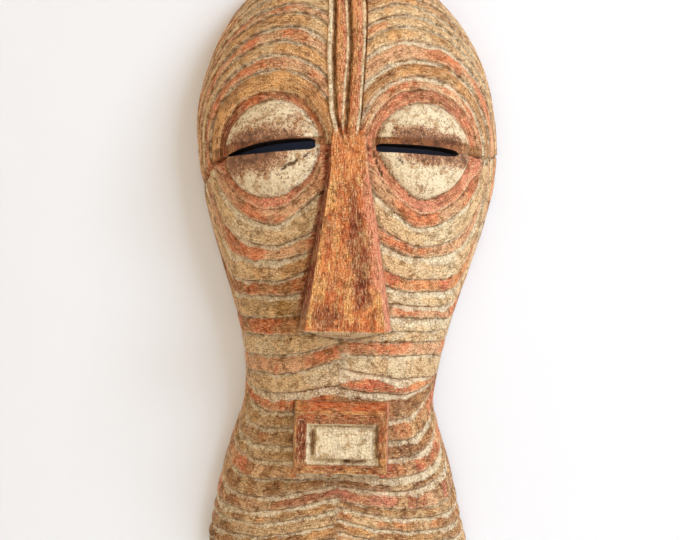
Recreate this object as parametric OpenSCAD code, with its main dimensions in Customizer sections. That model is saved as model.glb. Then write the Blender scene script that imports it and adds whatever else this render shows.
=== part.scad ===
// Carved wooden face mask for a wall, with a D-ring hanger set into its back.
// Millimetres, +Z up. The back rim lies in the wall plane Y = 0 and the face looks along -Y.
// The origin is the point of the wall plane, on the mask's centre line, where the hook carries the ring.

/* [Mask outline] */
// Height of the mask
mask_h = 353; // [330:1:370]
// Width at the eyes
mask_w = 179; // [170:1:190]
// Width at the waist, above the mouth
waist_w = 113; // [108:1:120]
// How much wider each side gets for each millimetre below the waist
flare = 0.27; // [0.15:0.01:0.3]
// Radius of the two bottom corners
corner_r = 10; // [6:1:12]
// Depth of the face at the eyes, without the nose
face_d = 60; // [56:1:66]
// Depth of the face at the mouth, without the mouth block
chin_d = 42; // [40:1:46]
// How far the crown stands above the hook
crown_above_hook = 24; // [24:1:28]

/* [Hollow] */
// Width of the back rim
rim_w = 13; // [11:1:15]
// Thickness of wood between the hollow and the face
wall_t = 15; // [13:1:17]
// Thickness of wood below the hollow
bottom_t = 14; // [12:1:20]
// Height of the top of the hollow above the bottom of the mask
hollow_top = 290; // [280:1:292]

/* [Eyes] */
// Distance from the centre line to the middle of each eye
eye_x = 44; // [42:1:46]
// Height of the eyes above the bottom of the mask
eye_h = 234; // [228:1:240]
// Width of the socket
socket_w = 65; // [60:1:68]
// Distance from the centre line to the inner end of each slit
slit_from = 17.5; // [16:0.5:20]
// Distance from the centre line to the outer tip of each slit
slit_to = 63; // [58:0.5:64]
// Opening of the slit
slit_gap = 5.8; // [5.6:0.1:6.6]
// Slope of the left slit, down towards the outside, in degrees
left_slope = 5.5; // [0:0.5:6]
// Slope of the right slit, down towards the outside, in degrees
right_slope = 2; // [0:0.5:6]

/* [Nose] */
// Height of the underside of the nose above the bottom of the mask
nose_foot = 133; // [128:1:138]
// Depth of the mask at the tip of the nose
nose_d = 74; // [70:1:80]
// Width of the flat front of the nose at its foot
nose_foot_w = 44; // [40:1:50]
// Width of the flat front of the nose at the bridge
bridge_w = 20; // [18:0.5:24]

/* [Mouth] */
// Width of the mouth block
mouth_w = 50; // [46:1:56]
// Height of the mouth block's front
mouth_h = 34; // [30:1:38]
// Height of the middle of the mouth above the bottom of the mask
mouth_at = 71; // [68:1:74]
// How far the mouth block stands out of the face
mouth_out = 16; // [12:1:18]
// Depth of the channel round the mouth's inner panel
channel_d = 4; // [2:0.5:5]

/* [Crest] */
// Width of each of the three grooves up the forehead
crest_groove_w = 3.4; // [2.6:0.2:4]
// Distance between the grooves
crest_pitch = 9; // [8:0.5:10]
// Depth of the grooves
crest_groove_d = 2.5; // [1.5:0.5:3]

/* [Hanger] */
// Radius of the wire that the ring is bent from
wire_r = 1.1; // [0.9:0.1:1.2]
// Half of the ring's inner width
ring_half_w = 6.5; // [6.5:0.5:8]
// Height of the ring's inside, from its straight bar's axis up to the hook
ring_h = 8.5; // [8:0.5:10]
// Thickness of the strap's sheet metal
strap_t = 1; // [0.8:0.1:1.2]
// Width of the strap
strap_w = 9; // [8:0.5:10]
// Length of the strap below the ring's bar
strap_l = 16; // [15:1:18]
// Running clearance between the ring's bar and the rolled strap
ring_play = 0.06; // [0.03:0.01:0.1]
// Width of the chiselled pocket that the hanger sits in
pocket_w = 26; // [24:1:30]

/* [Hidden] */

// Colours
OCHRE_WOOD = [0.76, 0.53, 0.36];
STEEL = [0.72, 0.70, 0.62];
SCREW_STEEL = [0.62, 0.62, 0.64];

// Places, from the origin
foot_z = crown_above_hook - mask_h;
eye_z = foot_z + eye_h;
bar_z = -ring_h;
pocket_d = 2 * (wire_r + strap_t) + 2;
bar_y = -pocket_d + strap_t + wire_r + ring_play;
screw_z = bar_z - 10.5;

// The widest and narrowest levels of the outline, above the bottom
wide_h = eye_h + 11;
waist_h = 90;
waist_turn = 5;
chin_level = 60;

// Screw
screw_head_r = 3;
screw_head_t = 1.8;
screw_shank_r = 1.4;
screw_l = 13;
pilot_play = 0.05;

// Fullness of the cross-section: 2 is an ellipse
section_power = 2.3;
EPS = 0.01;

// Half of the width at height v above the bottom
function flared(v) = waist_w / 2 + flare * (sqrt(pow(waist_h - v, 2) + pow(waist_turn, 2)) - waist_turn);
function corner_cut(v) = v < corner_r ? corner_r - sqrt(pow(corner_r, 2) - pow(corner_r - v, 2)) : 0;
function half_width(v) =
    v >= wide_h ? mask_w / 2 * sqrt(1 - pow((v - wide_h) / (mask_h - wide_h), 2)) :
    v >= waist_h ? (mask_w + waist_w) / 4
        + (mask_w - waist_w) / 4 * cos(180 * (wide_h - v) / (wide_h - waist_h)) :
    flared(v) - corner_cut(v);

// Depth of the face on the centre line at height v above the bottom
function depth(v) =
    v >= wide_h ? face_d * sqrt(1 - pow((v - wide_h) / (mask_h - wide_h), 2.4)) :
    v >= chin_level ? (face_d + chin_d) / 2
        + (face_d - chin_d) / 2 * cos(180 * (wide_h - v) / (wide_h - chin_level)) :
    chin_d - 5 * pow((chin_level - v) / chin_level, 2) - corner_cut(v) / 3;

// How far the face stands in front of the back plane, as a share of its depth, at u of its half width
function fullness(u) = sqrt(max(0, 1 - pow(abs(u), section_power)));

// Levels from the bottom to the crown, closer together where the outline turns quickly
levels = concat(
    [0, 1, 3, 6, 10],
    [for (v = 20; v < wide_h; v = v + 9) v],
    [for (t = 0; t < 80; t = t + 8) wide_h + (mask_h - wide_h) * sin(t)],
    [for (t = [80, 85, 88]) wide_h + (mask_h - wide_h) * sin(t)]
);

// A solid through sections [height, half width, depth], with its flat back at y = back
module carved_form(sections, columns, back = 0) {
    rows = len(sections);
    points = [
        for (s = sections, j = [0:columns])
            let (a = -90 + 180 * j / columns)
            [s[1] * sin(a), back - (s[2] + back) * fullness(sin(a)), s[0] + foot_z]
    ];
    function at(i, j) = i * (columns + 1) + j;
    front = [
        for (i = [0:rows - 2], j = [0:columns - 1], side = [0, 1])
            side == 0 ? [at(i, j), at(i + 1, j), at(i + 1, j + 1)]
                      : [at(i, j), at(i + 1, j + 1), at(i, j + 1)]
    ];
    flat = [
        for (i = [0:rows - 2], side = [0, 1])
            side == 0 ? [at(i, 0), at(i, columns), at(i + 1, columns)]
                      : [at(i, 0), at(i + 1, columns), at(i + 1, 0)]
    ];
    bottom = [for (j = [0:columns]) at(0, j)];
    top = [for (j = [columns:-1:0]) at(rows - 1, j)];
    polyhedron(points, concat(front, flat, [bottom, top]), convexity = 8);
}

// The face's outer form, taken in by inset all over
module outer_form(inset = 0, columns = 36) {
    carved_form([
        for (v = levels)
            [v, max(0.4, half_width(v) - inset), max(0.3, depth(v) - inset)]
    ], columns);
}

// The hollow behind the face, which closes at its top and bottom in an arch
module hollow() {
    middle = (hollow_top + bottom_t) / 2;
    reach = (hollow_top - bottom_t) / 2;
    function arch(v) = pow(max(0, 1 - pow(abs(v - middle) / reach, 5)), 0.4);
    carved_form([
        for (k = [-10:10])
            let (v = middle + reach * sin(9 * k) * 0.999)
            [v, (half_width(v) - rim_w) * arch(v) + 0.3, (depth(v) - wall_t) * arch(v) + 0.3]
    ], 18, back = 1);
}

// Places children on the face at an eye, with Y along the outward normal; side is -1 or 1
module at_eye(side) {
    u = eye_x / half_width(eye_h);
    y = -depth(eye_h) * fullness(u);
    turn = 19;
    translate([side * eye_x, y, eye_z]) rotate([0, 0, side * turn]) children();
}

module eye_socket(side) {
    at_eye(side) scale([socket_w / 2, 8, socket_w / 2 - 1]) sphere(r = 1, $fn = 36);
}

module eye_bulge(side) {
    at_eye(side) translate([0, 5, 0]) scale([socket_w / 2 - 4, 7.5, socket_w / 2 - 5])
        sphere(r = 1, $fn = 36);
}

// A slit through the wood, blunt at the nose and tapering to a tip at the temple
module eye_slit(side) {
    slope = side < 0 ? left_slope : right_slope;
    half = slit_gap / 2;
    inner = slit_from - eye_x;
    outer = slit_to - eye_x;
    outline = [
        [inner, -half + 1], [inner + 1, -half], [0, -half], [0.68 * outer, -half * 0.7], [outer, -0.6],
        [outer, 0.6], [0.68 * outer, half * 0.7], [0, half], [inner + 1, half], [inner, half - 1]
    ];
    mirror([side < 0 ? 1 : 0, 0, 0]) translate([eye_x, -15, eye_z]) rotate([0, slope, 0])
        rotate([90, 0, 0]) linear_extrude(60) polygon(outline);
}

// A level edge of length w across the centre line
module edge(w, y, z) {
    translate([-w / 2, y, z]) cube([w, EPS, EPS]);
}

// Wedge from the bridge to the nose's flat foot, with its sides spreading towards the face
module nose() {
    root = 34;
    spread = 5;
    undercut = 9;
    hull() {
        edge(bridge_w, -depth(eye_h) - 3, eye_z + 3);
        edge(nose_foot_w, -nose_d, foot_z + nose_foot);
        edge(bridge_w + 2 * spread, -root, eye_z);
        edge(nose_foot_w + 2 * spread, -root, foot_z + nose_foot - undercut);
    }
}

// Block with a sloping top
module mouth_block() {
    root = 30;
    spread = 2;
    bevel = 10;
    front = chin_d + mouth_out;
    low = foot_z + mouth_at - mouth_h / 2;
    hull() {
        translate([-mouth_w / 2, -front, low]) cube([mouth_w, EPS, mouth_h]);
        translate([-mouth_w / 2 - spread, -root, low - 1])
            cube([mouth_w + 2 * spread, EPS, mouth_h + bevel]);
    }
}

// Channel that leaves a raised panel in the middle of the mouth block
module mouth_channel() {
    front = chin_d + mouth_out;
    rail = 6;
    opening = [mouth_w - 2 * rail, mouth_h - 2 * rail + 1];
    translate([0, -front + channel_d, foot_z + mouth_at]) rotate([90, 0, 0]) difference() {
        linear_extrude(channel_d + 1) square(opening, center = true);
        translate([0, 0, -EPS]) linear_extrude(channel_d - 1) square(opening - [7, 7], center = true);
    }
}

// Three grooves that follow the forehead from the bridge over the crown
module crest_grooves() {
    difference() {
        for (k = [-1:1])
            translate([k * crest_pitch - crest_groove_w / 2, -nose_d, eye_z + 8])
                cube([crest_groove_w, nose_d - 14, mask_h]);
        outer_form(inset = crest_groove_d);
    }
}

// Chiselled pocket in the back of the crown
module hanger_pocket() {
    above = 8;
    below = strap_l + 4;
    translate([-pocket_w / 2, -pocket_d, bar_z - below])
        cube([pocket_w, pocket_d + 1, below + ring_h + above]);
}

module mask_shell() color(OCHRE_WOOD) difference() {
    // The carving is one mesh, so that the exact cuts below are few
    resize([0, 0, 0]) difference() {
        union() {
            difference() {
                union() {
                    outer_form();
                    nose();
                    mouth_block();
                }
                for (side = [-1, 1]) eye_socket(side);
                mouth_channel();
                crest_grooves();
            }
            difference() {
                for (side = [-1, 1]) eye_bulge(side);
                translate([-mask_w, -wall_t, foot_z]) cube([2 * mask_w, 2 * wall_t, mask_h]);
            }
            nose();
        }
        hollow();
        for (side = [-1, 1]) eye_slit(side);
    }
    hanger_pocket();
    translate([0, -pocket_d + 1, screw_z]) rotate([90, 0, 0])
        cylinder(r = screw_shank_r + pilot_play, h = screw_l + 1.5, $fn = 48);
}

// Sheet-metal strap, rolled round the ring's bar at its top and screwed down through one hole
module hanger_strap() color(STEEL) {
    roll_r = wire_r + ring_play + strap_t;
    difference() {
        union() {
            translate([-strap_w / 2, bar_y, bar_z]) rotate([0, 90, 0])
                cylinder(r = roll_r, h = strap_w, $fn = 64);
            translate([-strap_w / 2, -pocket_d, bar_z - strap_l + strap_w / 2])
                cube([strap_w, strap_t, strap_l - strap_w / 2]);
            translate([0, -pocket_d, bar_z - strap_l + strap_w / 2]) rotate([-90, 0, 0])
                cylinder(d = strap_w, h = strap_t, $fn = 64);
        }
        translate([-strap_w, bar_y, bar_z]) rotate([0, 90, 0])
            cylinder(r = wire_r + ring_play, h = 2 * strap_w, $fn = 64);
        translate([0, -pocket_d - 1, screw_z]) rotate([-90, 0, 0])
            cylinder(r = screw_shank_r + pilot_play, h = strap_t + 2, $fn = 48);
    }
}

// Wire ring: a straight bar in the strap's roll, two upright sides and a half-round top
module hanger_ring() color(STEEL) {
    bend_r = ring_half_w + wire_r;
    side_l = ring_h + wire_r - bend_r;
    translate([0, bar_y, bar_z]) {
        translate([-bend_r, 0, 0]) rotate([0, 90, 0]) cylinder(r = wire_r, h = 2 * bend_r, $fn = 48);
        for (side = [-1, 1]) translate([side * bend_r, 0, 0]) {
            sphere(r = wire_r, $fn = 48);
            cylinder(r = wire_r, h = side_l, $fn = 48);
        }
        translate([0, 0, side_l]) rotate([90, 0, 0])
            rotate_extrude(angle = 180, $fn = 64) translate([bend_r, 0]) circle(r = wire_r, $fn = 48);
    }
}

// Round-headed wood screw
module hanger_screw() color(SCREW_STEEL) {
    seat_y = -pocket_d + strap_t;
    point_l = 4;
    translate([0, seat_y, screw_z]) difference() {
        union() {
            rotate([-90, 0, 0]) cylinder(r1 = screw_head_r, r2 = screw_head_r - 0.9, h = screw_head_t, $fn = 64);
            rotate([90, 0, 0]) cylinder(r = screw_shank_r, h = screw_l - point_l, $fn = 48);
            translate([0, -screw_l + point_l, 0]) rotate([90, 0, 0])
                cylinder(r1 = screw_shank_r, r2 = 0.2, h = point_l, $fn = 48);
        }
        translate([-screw_head_r, screw_head_t - 0.9, -0.4]) cube([2 * screw_head_r, 1, 0.8]);
    }
}

mask_shell();
hanger_strap();
hanger_ring();
hanger_screw();
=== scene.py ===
"""Looks of the carved striated mask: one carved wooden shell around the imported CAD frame.

Lengths in the shape code are millimetres, with v the height above the lower edge; they become metres
when the mesh is made. Angles go round the face from its centre line, 90 degrees at either rim.
"""

import math

import bmesh
import bpy
import numpy as np
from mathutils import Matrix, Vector, kdtree


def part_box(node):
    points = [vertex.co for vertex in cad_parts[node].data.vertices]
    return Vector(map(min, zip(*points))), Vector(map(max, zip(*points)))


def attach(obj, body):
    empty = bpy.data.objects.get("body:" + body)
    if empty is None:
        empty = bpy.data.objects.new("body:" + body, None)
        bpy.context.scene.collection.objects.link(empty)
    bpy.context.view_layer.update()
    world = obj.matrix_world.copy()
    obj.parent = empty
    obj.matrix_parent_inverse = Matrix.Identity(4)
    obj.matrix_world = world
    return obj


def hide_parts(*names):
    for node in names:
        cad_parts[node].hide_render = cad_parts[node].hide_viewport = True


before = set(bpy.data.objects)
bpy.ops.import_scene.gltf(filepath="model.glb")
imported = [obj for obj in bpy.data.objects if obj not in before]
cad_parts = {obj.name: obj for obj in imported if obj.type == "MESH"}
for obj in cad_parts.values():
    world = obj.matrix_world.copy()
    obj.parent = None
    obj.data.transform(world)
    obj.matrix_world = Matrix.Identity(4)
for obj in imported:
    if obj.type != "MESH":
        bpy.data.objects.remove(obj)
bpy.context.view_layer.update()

# ---------------------------------------------------------------- the base form

FOOT_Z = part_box("mask_shell")[0].z * 1000
# heights of the widest level, the waist, the level chin and the crown
WIDE_H, WAIST_H, WAIST_TURN, CHIN_LEVEL = 245.0, 90.0, 5.0, 60.0
CROWN_H = 353.0
SECTION_POWER = 2.3
RIM_W, WALL_T, HOLLOW_LOW, HOLLOW_TOP = 13.0, 15.0, 14.0, 290.0
CORNER_R = 10
HALF_WIDE, HALF_WAIST, CHIN_FLARE, CHIN_SWELL = 89.5, 56.5, 0.27, 2.0
HALF_MEAN, HALF_SWING = (HALF_WIDE + HALF_WAIST) / 2, (HALF_WIDE - HALF_WAIST) / 2
# the carving leans a little from side to side: how far its middle is off at each height
SHIFT_V = [0, 28, 53, 79, 96, 116, 142, 167, 203, 228, 253, 278, 304, 329, 353]
SHIFT_X = [0.2, -1.0, -1.2, -1.7, -0.6, 1.1, 1.7, 1.8, 1.9, 1.7, 0.0, -0.5, -0.8, -2.8, -3.4]


def smooth(lo, hi, x):
    t = np.clip((x - lo) / (hi - lo), 0, 1)
    return t * t * (3 - 2 * t)


def mix(a, b, t):
    return a + (b - a) * t


def hump(x, half, power=2):
    """1 where x is 0, and falling off to nothing on both sides."""
    return np.exp(-((x / half) ** power))


def band(x, start, full, fade, end):
    """1 between full and fade, and 0 before start and after end."""
    return smooth(start, full, x) * (1 - smooth(fade, end, x))


NOISE_CELLS = 97


def noise(u, w, seed):
    """Smooth value noise, -1 to 1, one cell per unit."""
    table = np.random.default_rng(seed).random((NOISE_CELLS, NOISE_CELLS)) * 2 - 1
    iu, iw = np.floor(u).astype(int), np.floor(w).astype(int)
    fu, fw = u - iu, w - iw
    fu, fw = fu * fu * (3 - 2 * fu), fw * fw * (3 - 2 * fw)
    at = lambda i, j: table[(iu + i) % NOISE_CELLS, (iw + j) % NOISE_CELLS]
    return mix(mix(at(0, 0), at(1, 0), fu), mix(at(0, 1), at(1, 1), fu), fw)


def corner_cut(v):
    """How far the round lower corner comes in at that height."""
    return CORNER_R - np.sqrt(np.maximum(0, CORNER_R**2 - np.maximum(CORNER_R - v, 0) ** 2))


def half_width(v):
    """Half the width of the flat back at that height."""
    crown = HALF_WIDE * np.sqrt(np.maximum(0, 1 - ((v - WIDE_H) / (CROWN_H - WIDE_H)) ** 2))
    cheek = HALF_MEAN + HALF_SWING * np.cos(np.pi * (WIDE_H - v) / (WIDE_H - WAIST_H))
    chin = HALF_WAIST + CHIN_FLARE * (np.sqrt((WAIST_H - v) ** 2 + WAIST_TURN**2) - WAIST_TURN)
    chin = chin + CHIN_SWELL * np.sin(np.pi * np.clip((WAIST_H - v) / 75, 0, 1))
    return np.where(v >= WIDE_H, crown, np.where(v >= WAIST_H, cheek, chin - corner_cut(v)))


def depth(v):
    """How far the face stands off its back at that height."""
    up = np.clip((v - WIDE_H) / (CROWN_H - WIDE_H), 0, 1)
    crown = 60 * np.sqrt(1 - up**2.4)
    cheek = 51 + 9 * np.cos(np.pi * (WIDE_H - v) / (WIDE_H - CHIN_LEVEL))
    chin = 42 - 5 * ((CHIN_LEVEL - v) / CHIN_LEVEL) ** 2 - corner_cut(v) / 3
    return np.where(v >= WIDE_H, crown, np.where(v >= CHIN_LEVEL, cheek, chin))


def centre_shift(v):
    """How far the middle of the carving is off at that height."""
    near = [np.interp(v + d, SHIFT_V, SHIFT_X) for d in (-12, -6, 0, 6, 12)]
    return sum(near) / len(near)


# ---------------------------------------------------------------- rows and columns of the face

ROW_STEP = 0.66
NOSE_FOOT, NOSE_UNDER, NOSE_TOP = 133.0, 124.5, 240.0
MOUTH = dict(low=54.0, high=87.8, bevel=92.8, wall=53.3, y=-58.0, depth=3.4)
CHANNEL_V = (58.4, 81.8)
PANEL_V = (62.4, 78.4)
# how far the nose's ridge stands out at each height, and where it sinks into the crest
NOSE_PROFILE_V = [NOSE_UNDER, NOSE_FOOT, 215, NOSE_TOP, 252]
NOSE_PROFILE_Y = [-73.5, -74, -65.2, -61.0, -60.0]
NOSE_FADE = (234, 246)


def make_rows():
    """Heights of the rows: close in the corner and at the crown, and one on every edge of nose and mouth."""
    rows = list(CORNER_R - CORNER_R * np.cos(np.linspace(0, np.pi / 2, 20)))
    stops = [CORNER_R, MOUTH["wall"], MOUTH["low"], *CHANNEL_V[:1], *PANEL_V, *CHANNEL_V[1:]]
    stops += [MOUTH["high"], MOUTH["bevel"], NOSE_UNDER, NOSE_FOOT, WIDE_H]
    for low, high in zip(stops, stops[1:]):
        count = max(1, round((high - low) / ROW_STEP))
        rows += list(np.linspace(low, high, count + 1)[1:])
    turns = np.linspace(0, np.pi / 2, round(160 / ROW_STEP))[1:]
    return np.array(rows + list(WIDE_H + (CROWN_H - WIDE_H) * np.sin(turns)))


ROWS = make_rows()
# half width of the front of the mouth block, the nose and the crest at each height
FRONT_V = [0, 54, 92.8, 110, NOSE_UNDER, NOSE_FOOT, 220, 236, 245, 255, 289, 316, 353]
FRONT_X = {
    -1: [23.2, 23.2, 23.2, 22.5, 22.0, 21.8, 9.8, 9.0, 7.5, 9.6, 11.0, 9.3, 9.3],
    1: [27.2, 27.2, 27.2, 24.6, 22.2, 21.8, 9.8, 9.0, 7.3, 9.0, 11.2, 12.6, 12.6],
}
# how much wider they are at the foot of their walls
FOOT_V = [0, 53, 93, 100, NOSE_UNDER, NOSE_FOOT, 236, 245, 353]
FOOT_OUT = [2, 2, 2, 3, 4.8, 5, 1.6, 1.5, 1.5]
# edges of the mouth panel and channel as shares of the front, and columns up to each edge
INNER_SHARES = {-1: (0.496, 0.754), 1: (0.695, 0.864)}
INNER_COUNTS = {-1: (17, 7, 7, 7), 1: (22, 5, 6, 7)}
OUTER_COUNT = 108


def side_columns(side):
    """Sine of the angle for each row and column of one side, from the centre line to the rim."""
    width = np.maximum(half_width(ROWS), 1e-6)
    crown_cap = mix(0.6, 0.35, smooth(250, 300, ROWS))
    front = np.minimum(np.interp(ROWS, FRONT_V, FRONT_X[side]) / width, crown_cap)
    foot = front + np.minimum(np.interp(ROWS, FOOT_V, FOOT_OUT) / width, 0.12)
    panel, channel = (share * front for share in INNER_SHARES[side])
    stops = [0 * front, panel, channel, front, foot]
    parts = [np.zeros((len(ROWS), 1))]
    for (low, high), count in zip(zip(stops, stops[1:]), INNER_COUNTS[side]):
        t = np.arange(1, count + 1) / count
        parts.append(low[:, None] + (high - low)[:, None] * t)
    angle = np.arcsin(foot)[:, None]
    t = np.arange(1, OUTER_COUNT + 1) / OUTER_COUNT
    parts.append(np.sin(angle + (np.pi / 2 - angle) * t))
    return np.hstack(parts), front * width, foot * width


right_s, right_front, right_foot = side_columns(1)
left_s, left_front, left_foot = side_columns(-1)
SINE = np.hstack([-left_s[:, :0:-1], right_s])
SINE[:, 0], SINE[:, -1] = -1, 1
V = np.repeat(ROWS[:, None], SINE.shape[1], 1)
HALF = half_width(V)
X = SINE * HALF
ANGLE = np.degrees(np.arcsin(np.clip(SINE, -1, 1)))
Y_BASE = -depth(V) * np.sqrt(np.maximum(0, 1 - np.abs(SINE) ** SECTION_POWER))
FRONT = np.where(X < 0, left_front[:, None], right_front[:, None])
FOOT = np.where(X < 0, left_foot[:, None], right_foot[:, None])
AX = np.abs(X)


def slopes(grid):
    """Length of a level field's gradient along the base form, per millimetre."""
    along_r, along_c = (
        np.sqrt(sum(np.gradient(part, axis=axis) ** 2 for part in (X, Y_BASE, V))) for axis in (0, 1)
    )
    gr = np.gradient(grid, axis=0) / np.maximum(along_r, 1e-3)
    gc = np.gradient(grid, axis=1) / np.maximum(along_c, 1e-3)
    return np.clip(np.sqrt(gr**2 + gc**2), 0.8, 12)


# ---------------------------------------------------------------- paint colours


def rgb(r, g, b):
    """An sRGB colour, 0 to 255, as linear numbers."""
    c = np.array([r, g, b]) / 255
    return np.where(c <= 0.04045, c / 12.92, ((c + 0.055) / 1.055) ** 2.4)


PAINT = {
    "pink": rgb(212, 134, 108),
    "dull_pink": rgb(190, 118, 86),
    "orange": rgb(206, 124, 84),
    "salmon": rgb(220, 172, 134),
    "red": rgb(196, 106, 76),
    "rust": rgb(178, 98, 56),
    "orange_tan": rgb(208, 142, 94),
    "tan": rgb(200, 150, 98),
    "beige": rgb(222, 188, 144),
    "cream": rgb(234, 212, 176),
    "grey": rgb(194, 162, 120),
    "brown": rgb(160, 112, 70),
    "dark": rgb(122, 76, 48),
    "olive": rgb(166, 126, 74),
    "kaolin": rgb(220, 200, 166),
    "lid": rgb(238, 214, 176),
    "nose": rgb(208, 124, 70),
    "nose_dark": rgb(112, 50, 28),
    "nose_edge": rgb(232, 172, 104),
    "maroon": rgb(124, 44, 20),
    # groove: the dark brown of painted shade and dirt in carved lines
    "groove": rgb(112, 76, 36),
    "bevel": rgb(204, 104, 54),
}
# what each paint wears or fades to along a ridge
WORN = {
    "pink": "dull_pink", "dull_pink": "rust", "orange": "salmon", "red": "orange_tan",
    "rust": "brown", "orange_tan": "beige", "tan": "brown", "beige": "tan", "cream": "beige",
    "grey": "brown", "brown": "dark", "olive": "grey",
}
# dark paints are lifted most, because the fibres and cracks drawn over them darken them
PAINT_GAIN = np.array([0.62, 0.54, 0.40])
NAMES = list(PAINT)
PAINT = {name: value * (1 + PAINT_GAIN * (1 - value.max()) ** 0.7) for name, value in PAINT.items()}
PAINT_TABLE = np.array([PAINT[n] for n in NAMES])
WORN_TABLE = np.array([PAINT[WORN.get(n, n)] for n in NAMES])


def cover(tint, colour, amount):
    """The tint with that share of a paint, or of a mixed colour, over it."""
    return mix(tint, PAINT[colour] if isinstance(colour, str) else colour, amount[..., None])


# Each groove: (lower edge of the ridge above it, width of its painted floor, paint of that ridge),
# for the left side (-1) and the right side (1) of the picture
BROW = {
    -1: [
        (260.5, 0.0, "dull_pink"), (265.8, 0.5, "tan"), (278.5, 1.6, "orange"), (287, 2.2, "beige"),
        (294.8, 1.4, "orange"), (303.5, 2.2, "beige"), (312, 1.2, "orange"), (317.8, 1.4, "beige"),
        (325.5, 1.4, "orange_tan"), (333, 2.0, "beige"), (340.5, 1.2, "orange"), (348, 2.0, "tan"),
        (356, 1.4, "beige"), (364, 1.6, "orange_tan"), (372, 1.6, "tan"), (380, 1.6, "tan"),
    ],
    1: [
        (260.5, 0.0, "pink"), (268, 0.5, "orange"), (276, 3.0, "tan"), (285.2, 2.6, "orange"),
        (296.8, 3.2, "beige"), (304.5, 1.4, "orange_tan"), (311.5, 2.0, "beige"), (318.3, 1.5, "tan"),
        (326, 1.6, "orange_tan"), (333, 2.0, "beige"), (340.5, 1.5, "orange"), (348, 1.8, "tan"),
        (356, 1.4, "beige"), (364, 1.6, "orange_tan"), (372, 1.6, "tan"), (380, 1.6, "tan"),
    ],
}
CHEEK = {
    -1: [
        (-16, 2.3, "tan"), (-8, 2.3, "tan"), (-1, 2.3, "tan"), (6, 2.5, "tan"), (13, 2.5, "orange_tan"),
        (20.5, 2.5, "tan"), (27.3, 3.8, "pink"), (35.7, 2.8, "grey"), (46.3, 2.2, "orange"),
        (57.3, 3.4, "olive"), (65.7, 3.4, "rust"), (75.5, 3.1, "olive"), (85.3, 3.8, "rust"),
        (95.5, 4.4, "cream"), (106.5, 2.5, "orange"), (117.3, 1.8, "cream"), (128.5, 1.4, "rust"),
        (139, 1.0, "olive"), (151, 3.0, "rust"), (159.7, 2.4, "beige"), (171.3, 3.6, "orange"),
        (180, 2.5, "cream"), (191, 3.0, "orange"), (200.3, 0.4, "pink"), (230, 0.0, "pink"),
    ],
    1: [
        (-18, 2.0, "tan"), (-11, 2.0, "tan"), (-4, 2.0, "tan"), (3, 2.0, "orange_tan"),
        (10.5, 2.5, "tan"), (17.8, 2.8, "orange_tan"), (25.2, 3.0, "tan"), (30.3, 0.8, "pink"),
        (40.8, 3.8, "brown"), (49, 4.4, "red"), (60.5, 4.0, "brown"), (69.8, 3.5, "red"),
        (82, 3.5, "brown"), (96.3, 4.5, "red"), (105.5, 4.0, "cream"), (118.5, 2.5, "orange"),
        (126.5, 1.2, "cream"), (133, 1.0, "cream"), (140, 4.0, "orange"), (147.5, 3.2, "cream"),
        (155.3, 4.0, "red"), (162.3, 0.9, "cream"), (175, 4.5, "orange"), (181.3, 0.9, "cream"),
        (191.2, 3.0, "orange"), (199, 0.3, "pink"), (230, 0.0, "pink"),
    ],
}

# ---------------------------------------------------------------- the families of carved lines

EYE_LEVEL, RING_LEVEL, RING_SPAN = 234, 191, 16.5
# height of the line between the lids, against the angle from the centre line
EYE_LINE = {
    -1: ([11, 30, 50, 55, 60, 65, 70, 75, 90], [236.5, 234, 230.8, 229.6, 228, 225.5, 223, 221, 216]),
    1: ([11, 30, 55, 65, 75, 90], [235, 234.5, 233.5, 233, 234.5, 237]),
}
HALVINGS = 26
LID_HIGH = 26.5
LID_IN, LID_OUT_UP = 19.5, 22.0
LID_LOW = {
    -1: dict(drop=27.0, inner=2.0, outer=2.0, half=24.0),
    1: dict(drop=28.0, inner=1.4, outer=1.6, half=23.0),
}
EYE_FROM, EYE_ANGLE, EYE_TO = 5, 30.0, 62
# rows of the lower family: level, centre angle (left, right), inner rise (left, right), power, lift
LOWER = [
    (-20, (40, 35), (8.0, 8.0), 8.0, 0.0),
    (0, (40, 35), (8.0, 8.0), 8.0, 0.5),
    (24, (40, 35), (10.5, 7.5), 8.0, 1.5),
    (37, (40, 30), (9.5, 4.5), 8.0, 4.0),
    (46, (40, 30), (3.0, 2.0), 8.0, 5.0),
    (60, (40, 30), (1.0, 1.0), 8.0, 5.0),
    (85, (40, 30), (3.0, 1.0), 8.0, 5.0),
    (105, (40, 42), (10.5, 6.0), 8.0, 0.5),
    (118, (40, 45), (8.5, 0.5), 8.0, 0.0),
    (140, (39, 40), (2.0, 2.0), 8.0, 0.0),
    (150, (38, 35), (6.0, 6.0), 6.5, 0.0),
    (160, (36, 30), (18.0, 18.0), 5.5, 0.0),
    (171, (33, 30), (15.0, 15.0), 4.0, 0.0),
    (180, (30, 30), (20.0, 20.0), 3.0, 0.0),
    (RING_LEVEL, (30, 30), (35.0, 35.0), 2.0, 0.0),
]


def bow(share, power):
    """A quarter of a superellipse: 1 at share 0, and 0 at share 1."""
    return (1 - np.clip(share, 0, 1) ** power) ** (1 / power)


def lower_curve(side, row, a, eye):
    """Height of one curve of the lower family: level by the nose, rising to the eye line at the rim."""
    level, middles, rises, power, lift = row
    own = 0 if side < 0 else 1
    middle, rise = middles[own], rises[own]
    reach = 32 + 0.4 * (RING_LEVEL - level)
    out = a > middle
    share = np.where(out, (a - middle) / reach, 0)
    outer = eye - (eye - level) * bow(share, power) + lift * ((a - middle) / 25) ** 2
    inner = level + rise * np.maximum(0, (middle - a) / middle) ** 1.45
    return np.where(out, outer, inner)


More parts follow.
